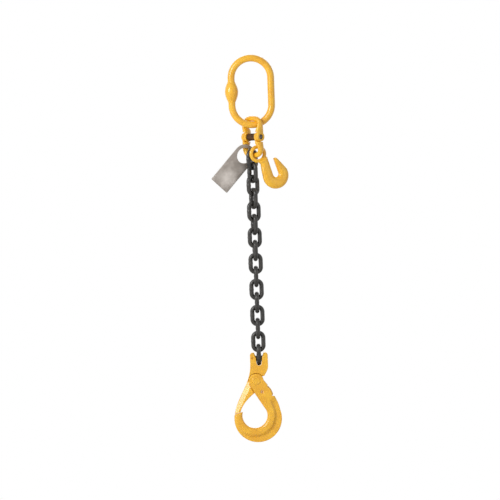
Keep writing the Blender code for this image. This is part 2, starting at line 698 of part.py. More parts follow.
def make_spring(pivot):
    """Coil between the pocket's floor and the trigger's heel; one unbroken tube."""
    foot = HOOK_PLANE.at(TRIGGER_SIDE + SPRING_SIDE, POCKET_FLOOR + SEAT_GAP + SPRING_WIRE / 2.0)
    climb = POCKET_DEPTH - TRIGGER_HEEL - 2.0 * SEAT_GAP - SPRING_WIRE
    radius = (SPRING_DIAMETER - SPRING_WIRE) / 2.0
    count = SPRING_TURNS * SPRING_POINTS
    points = []
    for step in range(count + 1):
        side, back = polar((0.0, 0.0), radius, 360.0 * step / SPRING_POINTS)
        points.append(foot + Vector((side, back, climb * step / count)))
    gap = min((first - second).length for index, first in enumerate(points)
              for second in points[index + SPRING_POINTS // 2:]) - SPRING_WIRE
    print("least gap between the spring's turns: %.2f mm" % gap)
    data = bpy.data.curves.new("trigger_spring", "CURVE")
    data.dimensions = "3D"
    data.bevel_depth = SPRING_WIRE / 2.0 * MM
    data.bevel_resolution = 1
    data.use_fill_caps = True
    spline = data.splines.new("POLY")
    spline.points.add(count)
    for place, point in zip(spline.points, points):
        place.co = (*((point - Vector(pivot["point"])) * MM), 1.0)
    data.materials.append(material("trigger_spring", BRIGHT_STEEL))
    spring = bpy.data.objects.new("trigger_spring", data)
    bpy.context.scene.collection.objects.link(spring)
    spring.parent = pivot


def main():
    """Build the sling from the master link down."""
    for old in list(bpy.data.objects):
        bpy.data.objects.remove(old, do_unlink=True)
    root = add_pivot("master_link", (0.0, 0.0, 0.0))
    make_master_link(root)
    upper = add_pivot("coupling_upper", MASTER_SEAT, root)
    make_coupling_half("coupling_upper_half", 1.0, upper)
    make_coupling_pin(upper)
    lower = add_pivot("coupling_lower", COUPLING_CENTRE, upper)
    make_coupling_half("coupling_lower_half", -1.0, lower)
    make_grab_hook(add_pivot("grab_hook", grab_plane().centre, lower))
    make_tag(add_pivot("id_tag", tag_plane().centre, lower))
    clevis = add_pivot("hook_upper", CLEVIS_SEAT, make_chain(lower))
    make_clevis_body(clevis)
    make_clevis_pins(clevis)
    bowl = add_pivot("hook_bowl", HOOK_PLANE.at(*PIVOT), clevis)
    make_hook_body(bowl)
    make_hook_pins(bowl)
    make_spring(bowl)
    make_trigger(add_pivot("trigger", HOOK_PLANE.at(*TRIGGER), bowl))


main()
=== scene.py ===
"""Studio picture of a single-leg lifting chain sling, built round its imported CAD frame.

Shapes are drawn in millimetres and handed over in metres. The sling hangs along -Z from the inside
crown of its master link, and the photograph looks along +Y.
"""

import math
from functools import partial
from types import SimpleNamespace

import bmesh
import bpy
from mathutils import Matrix, Vector


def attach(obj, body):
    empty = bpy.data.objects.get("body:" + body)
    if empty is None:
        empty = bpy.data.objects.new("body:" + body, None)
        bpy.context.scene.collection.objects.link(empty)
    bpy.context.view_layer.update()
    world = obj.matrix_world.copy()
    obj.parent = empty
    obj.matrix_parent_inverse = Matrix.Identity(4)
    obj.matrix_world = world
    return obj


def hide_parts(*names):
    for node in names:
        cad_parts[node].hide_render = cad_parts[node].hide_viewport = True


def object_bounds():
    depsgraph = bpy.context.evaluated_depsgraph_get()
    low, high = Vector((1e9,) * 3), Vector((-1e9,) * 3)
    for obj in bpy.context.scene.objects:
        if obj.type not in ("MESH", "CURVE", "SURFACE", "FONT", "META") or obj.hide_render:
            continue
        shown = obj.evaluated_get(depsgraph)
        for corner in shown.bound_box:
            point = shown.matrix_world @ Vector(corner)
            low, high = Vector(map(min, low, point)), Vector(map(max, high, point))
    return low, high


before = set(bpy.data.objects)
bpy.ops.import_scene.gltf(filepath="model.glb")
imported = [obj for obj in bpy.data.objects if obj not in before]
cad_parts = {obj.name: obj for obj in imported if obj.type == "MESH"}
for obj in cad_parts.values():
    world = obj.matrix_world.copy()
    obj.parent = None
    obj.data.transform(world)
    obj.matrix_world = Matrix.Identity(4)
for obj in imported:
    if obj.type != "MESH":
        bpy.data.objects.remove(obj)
CAD_BOX = [list(corner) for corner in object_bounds()]

bl_info = {
    "name": "Chain sling studio",
    "version": (1, 0, 0),
    "blender": (4, 5, 0),
    "location": "View3D > Sidebar > Sling",
    "description": "Builds a single-leg chain sling with a self-locking hook on a white stage",
    "category": "Object",
}

MM = 0.001
UP = Vector((0.0, 0.0, 1.0))
LINKS = 16  # links in the chain, each on its own body
TWISTED_LINKS = 9.0  # links over which the coupling's turn dies out down the chain
SQUARENESS = 2.6  # exponent of the coupling's bows, where 2 gives an ellipse
BOTH_FACES = (-1.0, 1.0)  # front and back of the hook
CRISP = 35.0  # degrees of bend from which an edge of a turned or cut piece stays crisp
STEPS = ("master_link", "coupling", "chain", "grab_hook", "tag", "clevis", "hook", "trigger", "stage")


def srgb(code):
    """Linear colour of an sRGB hex code."""
    parts = [int(code[index:index + 2], 16) / 255.0 for index in (1, 3, 5)]
    return tuple(part / 12.92 if part <= 0.04045 else ((part + 0.055) / 1.055) ** 2.4 for part in parts)


def length(description, millimetres):
    """A length setting, kept in metres, without its name."""
    return partial(bpy.props.FloatProperty, description=description, default=millimetres * MM,
                   unit="LENGTH", precision=4)


def angle(description, degrees):
    """An angle setting, kept in radians, without its name."""
    return partial(bpy.props.FloatProperty, description=description, default=math.radians(degrees),
                   unit="ROTATION")


def colour(description, code):
    """A colour setting, kept as linear light, without its name."""
    return partial(bpy.props.FloatVectorProperty, description=description, default=srgb(code),
                   subtype="COLOR", min=0.0, max=1.0)


def named(group):
    """Name every setting of a group after its own key."""
    for key, setting in group.__annotations__.items():
        group.__annotations__[key] = setting(name=key.replace("_", " ").capitalize())
    return group


@named
class SlingSizes(bpy.types.PropertyGroup):
    """Sizes of the sling's pieces."""

    seat_gap: length("Space between pieces that bear on each other", 0.3)
    pin_play: length("Space round a pin in its bore", 0.3)
    side_play: length("Space beside a piece that turns between others", 0.35)
    swing_play: length("Space round a piece that swings past another", 0.6)
    master_wire: length("Diameter of the stock", 13.0)
    master_length: length("Inside length", 110.0)
    master_width: length("Inside width", 60.0)
    bulge_diameter: length("Diameter of the swelling on the left leg", 24.6)
    bulge_length: length("Length of the swelling", 40.0)
    coupling_wire: length("Diameter of the bows' stock", 9.5)
    coupling_length: length("Inside length", 59.0)
    coupling_width: length("Inside width", 30.0)
    coupling_leg: length("Height of a straight leg above the pin", 21.0)
    coupling_pin: length("Diameter of the load pin", 9.0)
    coupling_turn: angle("Turn about the sling's line", 46.0)
    coupling_setback: length("Depth of the pin's ends in the ears", 0.6)
    bush_length: length("Length of the bush between the ears", 21.0)
    bush_wall: length("Wall of the bush", 1.8)
    ear_thickness: length("Thickness of a coupling ear", 5.5)
    ear_wall: length("Material round the bore of an ear", 3.8)
    ear_depth: length("Depth of a leg at its ear", 16.0)
    leg_depth: length("Depth of a leg where the bow starts", 13.0)
    chain_wire: length("Diameter of the wire", 8.0)
    chain_pitch: length("Length that each link adds", 24.0)
    chain_play: length("Space beside a link inside the next", 2.6)
    weld_swell: length("Growth of a link's wire radius at its weld", 0.3)
    weld_length: length("Length of a link's weld", 6.5)
    weld_gap: length("Space beside a weld in the clevis slot", 0.1)
    chain_side: length("Place along the coupling's lower bow", -4.0)
    grab_side: length("Place along the coupling's lower bow", 9.5)
    grab_turn: angle("Turn about the sling's line", 20.0)
    grab_lean: angle("Lean in its own plane", 18.0)
    grab_thickness: length("Thickness of the grab hook", 13.0)
    grab_eye_wire: length("Diameter of the eye's stock", 7.0)
    grab_eye_play: length("Space round the bow in the eye", 9.5)
    grab_slot_play: length("Space beside a link in the slot", 3.0)
    grab_slot_side: length("Distance from the eye across to the slot", 20.3)
    grab_slot_drop: length("Distance from the eye down to the slot's floor", 52.0)
    grab_bowl_radius: length("Outside radius of the bowl", 25.0)
    grab_tip_radius: length("Radius of the point", 2.8)
    tag_side: length("Place of the hole along the lower bow", -17.0)
    tag_turn: angle("Turn about the sling's line", 22.5)
    tag_lean: angle("Lean in its own plane", 40.5)
    tag_pitch: angle("Tilt out of the upright", -12.0)
    tag_width: length("Width of the tag", 42.0)
    tag_reach: length("Length below the hole's centre", 73.5)
    tag_hole: length("Diameter of the hole", 29.6)
    tag_corner: length("Radius of the lower corners", 1.5)
    tag_thickness: length("Thickness of the sheet", 2.0)
    clevis_width: length("Width over both ears", 33.0)
    clevis_depth: length("Depth of the ears", 22.0)
    clevis_rise: length("Height of the ears above the load pin", 11.5)
    clevis_play: length("Space beside a link between the ears", 3.8)
    clevis_flare: length("Growth of the slot to each side at its mouth", 3.6)
    clevis_pin: length("Diameter of the load pin", 10.0)
    clevis_setback: length("Depth of the ends of the clevis pins", 1.0)
    roll_pin: length("Diameter of the clevis roll pin", 3.0)
    tongue_thickness: length("Thickness of the tongue between the cheeks", 10.0)
    tongue_radius: length("Radius of the tongue round the pivot", 11.5)
    notch_depth: length("Depth of the lock notch in the tongue", 1.6)
    nose_depth: length("Depth of the trigger's nose in the notch", 0.7)
    arm_thickness: length("Thickness of the gate arm", 14.0)
    cheek_radius: length("Radius of the cheeks round the pivot", 14.0)
    rivet: length("Diameter of the pivot rivet's shank", 10.0)
    body_thickness: length("Thickness of the hook's inner band", 22.0)
    rim_thickness: length("Thickness of the hook's outer band", 12.5)
    bowl_radius: length("Inside radius of the hook's bowl", 22.9)
    band_radius: length("Radius at which the inner band steps down", 37.0)
    rim_radius: length("Outside radius of the hook's bowl", 44.0)
    trigger_thickness: length("Thickness of the trigger", 9.0)
    trigger_pin: length("Diameter of the trigger pin", 4.0)
    trigger_setback: length("Depth of the trigger pin's ends in the cheeks", 3.2)


@named
class SlingColours(bpy.types.PropertyGroup):
    """Colours of the sling's finishes."""

    paint: colour("Yellow paint where it is thick", "#EDB52B")
    paint_thin: colour("Yellow paint where it is thin", "#E4A621")
    chain: colour("Black lacquer of the chain", "#1C1B19")
    chain_dull: colour("Black lacquer where it is rubbed", "#33302C")
    steel: colour("Bare steel of the pins", "#6B655E")
    steel_dark: colour("Bare steel where it is stained", "#3A342E")
    bush: colour("Browned steel of the bush", "#5E3A16")
    bush_dark: colour("Browned steel where it is oiled", "#33200F")
    # tag is also the light tone of the painted highlight in the tag's middle, and tag_dark the tone the
    # sheet fades to round it.
    tag: colour("Dull zinc sheet of the tag", "#D8D0C9")
    tag_dark: colour("Dull zinc sheet where it is stained", "#A0978F")
    floor: colour("Matt white of the stage", "#F4F4F2")


def sizes():
    """Every size by name, in millimetres and degrees."""
    group = bpy.context.scene.sling_sizes
    found = {}
    for key in SlingSizes.__annotations__:
        is_angle = group.bl_rna.properties[key].unit == "ROTATION"
        found[key] = math.degrees(getattr(group, key)) if is_angle else getattr(group, key) / MM
    return SimpleNamespace(**found)


# Drawing in a plane

class Plane:
    """A drawing plane: a centre with a right, an up and a back direction."""

    def __init__(self, centre, right, up=UP):
        self.centre = Vector(centre)
        self.right = Vector(right).normalized()
        self.up = Vector(up).normalized()
        self.back = self.up.cross(self.right)

    def at(self, right, up, back=0.0):
        """The point at these distances from the centre."""
        return self.centre + self.right * right + self.up * up + self.back * back

    def moved(self, place):
        """The same plane, centred on a place in it."""
        return Plane(self.at(*place), self.right, self.up)


def facing(yaw):
    """Horizontal direction that is turned by yaw from +X towards +Y."""
    turn = math.radians(yaw)
    return Vector((math.cos(turn), math.sin(turn), 0.0))


def polar(centre, radius, turn):
    """One point at an angle from a centre."""
    turn = math.radians(turn)
    return (centre[0] + radius * math.cos(turn), centre[1] + radius * math.sin(turn))


def arc(centre, radius, start, end, piece=0.8):
    """Points of a circular arc, about a given length apart, both ends included."""
    steps = max(4, round(abs(math.radians(end - start)) * radius / piece))
    return [polar(centre, radius, start + (end - start) * step / steps) for step in range(steps + 1)]


def circle(radius, sides):
    """Points of a whole circle about the plane's centre."""
    return [polar((0.0, 0.0), radius, 360.0 * side / sides) for side in range(sides)]


def beside(point, right, up):
    """A point at an offset from another."""
    return (point[0] + right, point[1] + up)


def curve(points, steps=30):
    """Points of a Bezier curve, both ends included."""
    made = []
    for step in range(steps + 1):
        row = [Vector(point) for point in points]
        while len(row) > 1:
            row = [first.lerp(second, step / steps) for first, second in zip(row, row[1:])]
        made.append(tuple(row[0]))
    return made


def blend(first, second, share):
    """A value between two others."""
    return first + (second - first) * share


def ease(share):
    """Smooth step from 0 to 1."""
    share = min(max(share, 0.0), 1.0)
    return share * share * (3.0 - 2.0 * share)


# Solids as meshes in millimetres

def skin_rings(rings, closed=False):
    """Join rings of points into one solid, which closes on itself or has flat ends."""
    mesh = bmesh.new()
    loops = [[mesh.verts.new(point) for point in ring] for ring in rings]
    count = len(loops[0])
    pairs = list(zip(loops, loops[1:]))
    if closed:
        pairs.append((loops[-1], loops[0]))
    for first, second in pairs:
        for index in range(count):
            after = (index + 1) % count
            mesh.faces.new((first[index], first[after], second[after], second[index]))
    if not closed:
        mesh.faces.new(loops[0])
        mesh.faces.new(loops[-1])
    return mesh


def sweep(plane, path, sections, sides, closed):
    """Sweep an oval section along a path; a section is (in-plane radius, depth radius)."""
    rings = []
    count = len(path)
    for index, (right, up) in enumerate(path):
        before = path[index - 1] if closed or index else path[index]
        after = path[(index + 1) % count] if closed or index < count - 1 else path[index]
        along = Vector((after[0] - before[0], after[1] - before[1])).normalized()
        across = Vector((along.y, -along.x))
        wide, deep = sections[index]
        rings.append([plane.at(right + across.x * wide * out, up + across.y * wide * out, deep * back)
                      for out, back in circle(1.0, sides)])
    return skin_rings(rings, closed)


def both_ends(front):
    """A profile of (radius, distance back) from one end to the middle, and its mirror image."""
    return front + [(radius, -distance) for radius, distance in reversed(front)]


def turned(plane, profile, closed=False):
    """Turn a profile of (radius, distance back) round the plane's back direction."""
    return skin_rings([[plane.at(*point, distance) for point in circle(radius, 64)]
                       for radius, distance in profile], closed)


def rod(plane, radius, half, edge=0.0):
    """A pin along the plane's back direction, with rounded ends where edge is given."""
    end = [(radius - edge, -half), (radius - edge * 0.3, edge * 0.3 - half)] if edge else []
    return turned(plane, both_ends(end + [(radius, edge - half)]))


def inset(outline, distance, shares=None):
    """Move a counter-clockwise outline inwards by a distance, or by a share of it at each point."""
    moved = []
    count = len(outline)
    for index in range(count):
        here = Vector(outline[index])
        first = (here - Vector(outline[index - 1])).normalized()
        second = (Vector(outline[(index + 1) % count]) - here).normalized()
        normal = Vector((-first.y - second.y, first.x + second.x))
        reach = max(normal.length_squared / 2.0, 0.5)
        moved.append(here + normal * (distance * (shares[index] if shares else 1.0) / reach))
    return moved


def plate(plane, outline, layers, shares=None):
    """A plate with a shaped edge; each layer is (distance back, inset of the outline)."""
    return skin_rings([[plane.at(*point, back) for point in inset(outline, by, shares)]
                       for back, by in layers])


def slab(plane, outline, near, far):
    """A plain plate between two distances back."""
    return plate(plane, outline, [(near, 0.0), (far, 0.0)])


def rounded_layers(half, edge, steps=5, wide=None):
    """Layers of a forged plate whose edges are rounded over a depth, and over another width if given."""
    front = []
    for step in range(steps, -1, -1):
        turn = math.pi / 2.0 * step / steps
        front.append((edge * (1.0 - math.sin(turn)) - half, (wide or edge) * (1.0 - math.cos(turn))))
    return front + [(-back, by) for back, by in reversed(front)]


# Pieces as objects

def placed(name, data):
    """A scene object at the origin."""
    made = bpy.data.objects.new(name, data)
    bpy.context.scene.collection.objects.link(made)
    return made


def plain(name, mesh):
    """A scene object from a mesh in millimetres."""
    bmesh.ops.recalc_face_normals(mesh, faces=mesh.faces)
    data = bpy.data.meshes.new(name)
    mesh.to_mesh(data)
    mesh.free()
    data.transform(Matrix.Scale(MM, 4))
    return placed(name, data)


def settle(source, name):
    """Replace an object and its modifiers by one plain mesh object."""
    depsgraph = bpy.context.evaluated_depsgraph_get()
    data = bpy.data.meshes.new_from_object(source.evaluated_get(depsgraph))
    if not data.polygons:
        raise RuntimeError(name + " came out empty")
    data.name = name
    bpy.data.objects.remove(source, do_unlink=True)
    return placed(name, data)


def forge(name, mesh, joined=(), cut=(), kept=(), voxel=None, rounds=0):
    """Trim, join and cut solids, and round every edge as forging does where a voxel size is given."""
    source = plain(name + "_raw", mesh)
    helpers = []
    for operation, others in (("INTERSECT", kept), ("UNION", joined), ("DIFFERENCE", cut)):
        for other in others:
            helper = plain(name + "_helper", other)
            helpers.append(helper)
            step = source.modifiers.new(operation, "BOOLEAN")
            step.operation = operation
            step.solver = "EXACT"
            step.object = helper
    if voxel:
        remesh = source.modifiers.new("remesh", "REMESH")
        remesh.mode = "VOXEL"
        remesh.voxel_size = voxel * MM
        smooth = source.modifiers.new("smooth", "SMOOTH")
        smooth.factor = 0.5
        smooth.iterations = rounds
    made = settle(source, name)
    for helper in helpers:
        bpy.data.objects.remove(helper, do_unlink=True)
    return made


def show(piece, body, cad_node, slot="yellow_paint", sharp=180.0):
    """Give a finished piece its slot's finish and let it stand for its CAD node on a body."""
    piece.data.materials.clear()
    piece.data.materials.append(FINISHES[slot]())
    piece.data.shade_smooth()
    if sharp < 180.0:
        piece.data.set_sharp_from_angle(angle=math.radians(sharp))
    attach(piece, body)
    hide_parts(cad_node)


def show_pin(name, mesh, body, cad_node, slot="yellow_paint"):
    """Show a turned piece, with its edges crisp."""
    show(plain(name, mesh), body, cad_node, slot, CRISP)


# Materials

def feed(tree, fed, inputs):
    """Give a node's inputs their values or links; a node that is given stands for its first output."""
    for key, value in inputs.items():
        if isinstance(value, bpy.types.Node):
            value = value.outputs[0]
        if isinstance(value, bpy.types.NodeSocket):
            tree.links.new(value, fed.inputs[key])
        else:
            fed.inputs[key].default_value = value


def node(tree, kind, inputs=None, **settings):
    """Add one node, with its settings and with values or links for its inputs."""
    made = tree.nodes.new(kind)
    for key, value in settings.items():
        setattr(made, key, value)
    feed(tree, made, inputs or {})
    return made


def seen_directly(tree):
    """1 for rays that show a thing to the eye, a mirror or through glass, and 0 for other rays."""
    rays = node(tree, "ShaderNodeLightPath").outputs
    seen = rays["Is Camera Ray"]
    for other in ("Is Transmission Ray", "Is Glossy Ray"):
        seen = node(tree, "ShaderNodeMath", {0: seen, 1: rays[other]}, operation="MAXIMUM")
    return seen


def surface(name, light, dark, cloud, grain, relief, wave, waviness, rough, metallic, coat=0.0, gloss=0.5,
            stretch=1.0, lighter=None):
    """A material of two tones in clouds, with a fine grain and slow waves; sizes are in millimetres.

    The grain of steel and sheet is drawn coarser than the real one, so that it shows. A painted
    highlight, given as (centre, radius), has only the light tone in its middle and leaves the rest mostly
    in the dark tone.
    """
    found = bpy.data.materials.get(name)
    if found:
        return found
    made = bpy.data.materials.new(name)
    made.use_nodes = True
    tree = made.node_tree
    add = partial(node, tree)
    tones = bpy.context.scene.sling_colours
    place = add("ShaderNodeTexCoord").outputs["Object"]
    drawn = add("ShaderNodeMapping", {"Vector": place, "Scale": (1.0, 1.0, stretch)})
    clouds = add("ShaderNodeTexNoise", {"Vector": place, "Scale": 1.0 / (cloud * MM), "Detail": 3.0})
    shade = add("ShaderNodeMapRange", {"Value": clouds, "From Min": 0.35, "From Max": 0.65})
    # Painted highlight: a paler patch with only the light tone at its centre, fading out over its radius.
    if lighter:
        centre, radius = lighter
        away = add("ShaderNodeVectorMath", {0: place, 1: centre * MM}, operation="DISTANCE")
        painted_highlight_falloff = add("ShaderNodeMapRange", {"Value": away.outputs["Value"], "From Max": radius * MM,
                                          "To Min": -0.7})
        shade = add("ShaderNodeMath", {0: shade, 1: 0.6, 2: painted_highlight_falloff}, operation="MULTIPLY_ADD")
        shade = add("ShaderNodeMath", {0: shade, 1: 0.7}, operation="MULTIPLY")
    mixed = add("ShaderNodeMix", {0: shade, 6: (*getattr(tones, light), 1.0),
                                  7: (*getattr(tones, dark), 1.0)}, data_type="RGBA")
    fine = add("ShaderNodeTexNoise", {"Vector": drawn, "Scale": 1.0 / (grain * MM), "Detail": 2.0})
    slow = add("ShaderNodeTexNoise", {"Vector": place, "Scale": 1.0 / (wave * MM), "Detail": 1.0})
    shine = add("ShaderNodeMapRange", {"Value": fine, "To Min": rough - 0.08, "To Max": rough + 0.08})
    waves = add("ShaderNodeBump", {"Height": slow, "Distance": waviness * MM})
    bumps = add("ShaderNodeBump", {"Height": fine, "Distance": relief * MM, "Normal": waves})
    feed(tree, tree.nodes["Principled BSDF"], {
        "Base Color": mixed.outputs[2], "Roughness": shine, "Normal": bumps, "Metallic": metallic,
        "Specular IOR Level": gloss, "Coat Weight": coat, "Coat Roughness": 0.17})
    return made


def yellow_paint():
    """Sprayed paint on forgings: warm yellow with an orange-peel skin that breaks up the highlights."""
    return surface("Yellow_paint_on_forged_steel", "paint", "paint_thin", cloud=18.0, grain=1.8,
                   relief=0.02, wave=9.0, waviness=0.12, rough=0.36, metallic=0.0, coat=0.8, gloss=0.2)


def chain_lacquer():
    """Black dip lacquer on drawn wire: nearly black, with a dull sheen along each link."""
    return surface("Black_lacquer_on_chain_steel", "chain", "chain_dull", cloud=7.0, grain=1.1,
                   relief=0.02, wave=4.0, waviness=0.08, rough=0.3, metallic=0.0)


def pin_steel():
    """Turned pin ends: grey bare metal with darker stains."""
    return surface("Bare_turned_steel", "steel", "steel_dark", cloud=3.0, grain=0.4, relief=0.02,
                   wave=3.0, waviness=0.02, rough=0.38, metallic=1.0)


def bush_steel():
    """Heat-browned bush: a dark brown metal between the yellow ears."""
    return surface("Browned_bush_steel", "bush", "bush_dark", cloud=4.0, grain=0.6, relief=0.03,
                   wave=3.0, waviness=0.05, rough=0.5, metallic=0.5)


def tag_zinc():
    """Zinc-plated sheet: a warm grey with soft stains, a faint rolled grain and a painted highlight, a
    paler patch in the middle that darkens towards the edges.
    """
    # Centre of the painted highlight on the tag, a paler patch in its lower middle.
    middle = tag_plane(*sling()).at(3.0, -54.0)
    return surface("Dull_zinc_plated_sheet", "tag", "tag_dark", cloud=14.0, grain=0.7, relief=0.02,
                   wave=12.0, waviness=0.12, rough=0.46, metallic=0.55, stretch=0.2,
                   lighter=(middle, 22.0))


def floor_paint(low):
    """Matt white floor: it keeps the sling's shadow, and fades into the white round it."""
    made = surface("Matt_white_studio_floor", "floor", "floor", cloud=400.0, grain=3.0, relief=0.02,
                   wave=50.0, waviness=0.02, rough=0.8, metallic=0.0)
    tree = made.node_tree
    add = partial(node, tree)
    place = add("ShaderNodeTexCoord").outputs["Object"]
    away = add("ShaderNodeVectorMath", {0: place, 1: (0.0, 0.0, low * MM)}, operation="DISTANCE")
    fade = add("ShaderNodeMapRange", {"Value": away.outputs["Value"], "From Min": 0.3, "From Max": 1.6},
               interpolation_type="SMOOTHSTEP")
    share = add("ShaderNodeMath", {0: fade, 1: seen_directly(tree)}, operation="MULTIPLY")
    white = add("ShaderNodeEmission", {"Strength": 1.0})
    mixed = add("ShaderNodeMixShader", {0: share, 1: tree.nodes["Principled BSDF"], 2: white})
    feed(tree, tree.nodes["Material Output"], {"Surface": mixed})
    return made


FINISHES = {"yellow_paint": yellow_paint, "black_chain": chain_lacquer, "bright_steel": pin_steel,
            "brown_steel": bush_steel, "tag_sheet": tag_zinc}


# Places along the sling

def places(s):
    """Where the sling's pieces are, worked out from their sizes.

    Places on the hook are (right, up) from its clevis pin.
    """
    p = SimpleNamespace()
    p.master = UP * (-s.master_length / 2.0)
    p.coupling = UP * (s.seat_gap - s.master_length - s.coupling_length / 2.0)
    p.coupling_right = facing(-s.coupling_turn)
    p.coupling_back = facing(90.0 - s.coupling_turn)
    p.bow_half = (s.coupling_width + s.coupling_wire) / 2.0
    p.bow_top = (s.coupling_length + s.coupling_wire) / 2.0
    p.inner_ear = s.bush_length / 2.0 + s.side_play + s.ear_thickness / 2.0
    p.outer_ear = p.inner_ear + s.ear_thickness + s.side_play
    p.link_inside = s.chain_pitch + s.seat_gap
    seat = on_bow(s, p, s.chain_side, 0.0, 0.0)
    p.first_link = seat + UP * (s.coupling_wire / 2.0 + s.seat_gap - p.link_inside / 2.0)
    drop = s.chain_pitch * (LINKS - 1) + p.link_inside / 2.0 - s.seat_gap - s.clevis_pin / 2.0
    p.clevis = p.first_link - UP * drop
    p.hook = Plane(p.clevis, facing(0.0))
    p.cross = Plane(p.clevis, facing(90.0))
    p.pivot = (-6.5, -41.8)
    p.trigger = (3.8, -62.5)
    p.bowl = (-10.9, -105.4)
    p.rim = (-5.2, -111.0)
    p.bowl_top = p.bowl[1] + s.bowl_radius
    p.bowl_tip, p.rim_tip = 161.0, 168.5  # turns at which the bowl and the rim end at the tip
    p.heel, p.pocket_floor = p.trigger[1] - 7.0, p.trigger[1] - 17.0
    p.slot_half = (s.chain_wire + s.clevis_play) / 2.0
    p.roll_pin = (-(s.clevis_width / 2.0 + p.slot_half) / 2.0 - s.roll_pin / 4.0, 0.0)
    return p


def sling():
    """The sling's sizes, and the places that follow from them."""
    s = sizes()
    return s, places(s)


def on_bow(s, p, side, back, rise):
    """A place near the coupling's lower bow: along it, behind it and above its centre line."""
    share = 1.0 - abs(side / p.bow_half) ** SQUARENESS
    height = blend(s.coupling_leg, p.bow_top, share ** (1.0 / SQUARENESS))
    return p.coupling + p.coupling_right * side + p.coupling_back * back + UP * (rise - height)


def link_yaw(s, index):
    """Turn of a link about the chain's line; the twist dies out down the chain."""
    share = max(0.0, 1.0 - index / TWISTED_LINKS) ** 1.3
    return (90.0 - s.coupling_turn) * share - (90.0 if index % 2 else 0.0)


# Shapes of the pieces

def master_shape(s, p):
    """Oblong link with the egg-shaped swelling on its left leg."""
    radius = (s.master_width + s.master_wire) / 2.0
    half = (s.master_length - s.master_width) / 2.0
    path = arc((0.0, half), radius, 0.0, 180.0, 1.6)
    path += [(-radius, blend(half, -half, step / 60.0)) for step in range(1, 60)]
    path += arc((0.0, -half), radius, 180.0, 360.0, 1.6)
    path += [(radius, blend(-half, half, step / 20.0)) for step in range(1, 20)]
    sections = []
    for right, up in path:
        share = 0.0
        if right < -radius * 0.9:
            share = max(0.0, 1.0 - (2.0 * up / s.bulge_length) ** 2)
        size = blend(s.master_wire, s.bulge_diameter, share ** 1.3) / 2.0
        sections.append((size, size))
    return sweep(Plane(p.master, facing(0.0)), path, sections, 48, True)


def coupling_half(s, p, name, turn):
    """One of two equal coupling halves: an inner ear, a bow and an outer ear."""
    plane = Plane(p.coupling, p.coupling_right * turn, UP * turn)
    bore = s.coupling_pin / 2.0 + s.pin_play
    radius = bore + s.ear_wall
    neck = radius + 1.5
    wire = s.coupling_wire / 2.0
    ear = (s.ear_thickness / 2.0, s.ear_depth / 2.0)
    foot = (wire, s.leg_depth / 2.0)

    def leg(ear_side, bow_side):
        """Path and sections of a leg, from the middle of its ear to the bow."""
        leg_path = [(ear_side, 0.0), (ear_side, neck / 2.0)]
        leg_sections = [ear, ear]
        for step in range(12):
            share = ease(step / 12.0)
            leg_path.append((blend(ear_side, bow_side, share), blend(neck, s.coupling_leg, step / 12.0)))
            leg_sections.append(tuple(blend(*pair, share) for pair in zip(ear, foot)))
        return leg_path, leg_sections

    path, sections = leg(p.outer_ear, p.bow_half)
    for step in range(81):
        across, upwards = polar((0.0, 0.0), 1.0, 180.0 * step / 80.0)
        side = math.copysign(abs(across) ** (2.0 / SQUARENESS), across)
        rise = abs(upwards) ** (2.0 / SQUARENESS)
        path.append((p.bow_half * side, blend(s.coupling_leg, p.bow_top, rise)))
        sections.append((wire, blend(wire, foot[1], ease(1.0 - 1.8 * rise))))
    other_path, other_sections = leg(-p.inner_ear, -p.bow_half)
    path += reversed(other_path)
    sections += reversed(other_sections)
    joined = [leg_root(s, p, plane, side, radius + s.swing_play) for side in (-1.0, 1.0)]
    for side in (p.outer_ear, -p.inner_ear):
        joined.append(rod(Plane(plane.at(side, 0.0), p.coupling_back), radius, s.ear_thickness / 2.0))
    hole = rod(Plane(p.coupling, p.coupling_back), bore, p.outer_ear + s.ear_thickness)
    body = sweep(plane, path, sections, 32, False)
    return forge(name, body, joined=joined, cut=[hole], voxel=0.35, rounds=10)


def leg_root(s, p, plane, side, low):
    """Thick root of a coupling leg, which starts where the other half's ear ends."""
    wire = s.coupling_wire / 2.0
    rings = []
    for step in range(9):
        share = ease(step / 8.0)
        near = blend(p.inner_ear - s.ear_thickness / 2.0, p.bow_half - wire, share)
        far = blend(p.outer_ear + s.ear_thickness / 2.0, p.bow_half + wire, share)
        deep = blend(s.ear_depth, s.leg_depth, share) / 2.0
        height = blend(low, s.coupling_leg, step / 8.0)
        rings.append([plane.at(side * (near + far + (far - near) * right) / 2.0, height, deep * back)
                      for right, back in circle(1.0, 32)])
    return skin_rings(rings)


def bush_shape(s, plane):
    """Tube with broken edges that grips the coupling's pin."""
    bore, half = s.coupling_pin / 2.0 + s.pin_play, s.bush_length / 2.0
    wall = bore + s.bush_wall
    front = [(bore, 0.4 - half), (bore + 0.4, -half), (wall - 0.5, -half), (wall, 0.5 - half)]
    return turned(plane, both_ends(front), True)


